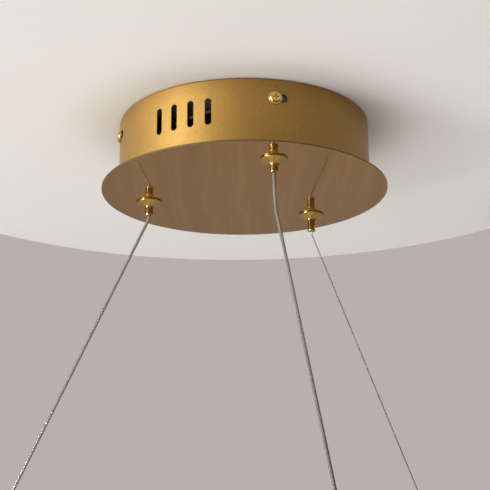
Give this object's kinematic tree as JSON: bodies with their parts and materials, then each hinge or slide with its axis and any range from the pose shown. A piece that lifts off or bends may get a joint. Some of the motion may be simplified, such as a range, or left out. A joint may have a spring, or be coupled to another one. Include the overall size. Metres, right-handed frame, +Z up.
{
  "type": "led ring chandelier",
  "caption": "Ceiling light: a lit ring hung on splayed cables from a round gold canopy with a wide face plate and push-release cable grippers.",
  "frame": {"origin": "centre of the face that meets the ceiling", "axes": "+Z up into the ceiling, -Y towards the viewer of the picture, +X to the right"},
  "size_m": [0.6, 0.6, 0.504],
  "materials": {
    "satin_gold": "satin",
    "gold_fittings": "polished",
    "ring_gold": "satin",
    "zinc_steel": "satin",
    "brass_inserts": "satin",
    "tinned_copper": "satin",
    "cable_clear": "clear sheath over a tinned core",
    "steel_wire": "stranded",
    "driver_plastic": "satin",
    "black_steel": "satin",
    "circuit_board": "gloss",
    "transformer_tape": "taped",
    "capacitor_sleeve": "gloss",
    "white_nylon": "matt",
    "black_rubber": "matt",
    "brown_insulation": "satin",
    "blue_insulation": "satin",
    "green_insulation": "satin",
    "red_insulation": "satin",
    "black_insulation": "satin",
    "opal_diffuser": "opal",
    "strip_board": "satin",
    "led_phosphor": "gloss"
  },
  "bodies": {
    "canopy": {"cable_tail_front": "cable_clear", "cable_tail_left": "cable_clear", "canopy_drum": "satin_gold", "ceiling_bracket": "black_steel", "crimp_sleeves": "tinned_copper", "driver_base": "zinc_steel", "driver_board": "circuit_board", "driver_capacitors": "capacitor_sleeve", "driver_cover": "driver_plastic", "driver_screws": "zinc_steel", "driver_transformer": "transformer_tape", "earth_lead": "green_insulation", "earth_screw": "zinc_steel", "earth_tag": "tinned_copper", "face_plate": "satin_gold", "gripper_body_front": "gold_fittings", "gripper_body_left": "gold_fittings", "gripper_body_right": "gold_fittings", "gripper_caps": "brass_inserts", "gripper_nuts": "zinc_steel", "gripper_washers": "zinc_steel", "hung_cable_front": "cable_clear", "hung_cable_left": "cable_clear", "hung_wire_right": "steel_wire", "live_lead": "brown_insulation", "neutral_lead": "blue_insulation", "output_lead_negative": "black_insulation", "output_lead_positive": "red_insulation", "release_spring_front": "zinc_steel", "release_spring_left": "zinc_steel", "release_spring_right": "zinc_steel", "side_screws": "gold_fittings", "supply_grommet": "black_rubber", "terminal_body": "white_nylon", "terminal_clamps": "brass_inserts", "terminal_rivets": "zinc_steel", "terminal_screws": "zinc_steel", "wire_stop": "tinned_copper", "wire_tail_right": "steel_wire"},
    "ring": {"ring_profile": "ring_gold", "ring_diffuser": "opal_diffuser", "led_strip": "strip_board", "led_chips": "led_phosphor", "splice_plates": "zinc_steel", "splice_screws": "zinc_steel", "cable_studs": "ring_gold", "stud_set_screws": "zinc_steel", "stud_bushes": "white_nylon", "stud_slide_nuts": "white_nylon", "cable_ferrules": "tinned_copper", "solder_tags": "tinned_copper", "feed_wire_positive": "red_insulation", "feed_wire_negative": "black_insulation"},
    "plunger_front": {"release_plunger_front": "gold_fittings", "gripper_balls_front": "zinc_steel"},
    "plunger_left": {"release_plunger_left": "gold_fittings", "gripper_balls_left": "zinc_steel"},
    "plunger_right": {"release_plunger_right": "gold_fittings", "gripper_balls_right": "zinc_steel"}
  },
  "joints": [
    {"name": "ring_height", "type": "slide", "parent": "canopy", "child": "ring", "axis": [0, 0, 1], "range_m": [0, 0.28], "deforming": ["hung_cable_front", "hung_cable_left", "hung_wire_right"]},
    {"name": "release_front", "type": "slide", "parent": "canopy", "child": "plunger_front", "axis": [0, 0, 1], "range_m": [0, 0.002], "stiffness_N_per_m": 800, "springref_m": -0.001, "deforming": ["release_spring_front"]},
    {"name": "release_left", "type": "slide", "parent": "canopy", "child": "plunger_left", "axis": [0, 0, 1], "range_m": [0, 0.002], "stiffness_N_per_m": 800, "springref_m": -0.001, "deforming": ["release_spring_left"]},
    {"name": "release_right", "type": "slide", "parent": "canopy", "child": "plunger_right", "axis": [0, 0, 1], "range_m": [0, 0.002], "stiffness_N_per_m": 800, "springref_m": -0.001, "deforming": ["release_spring_right"]}
  ]
}
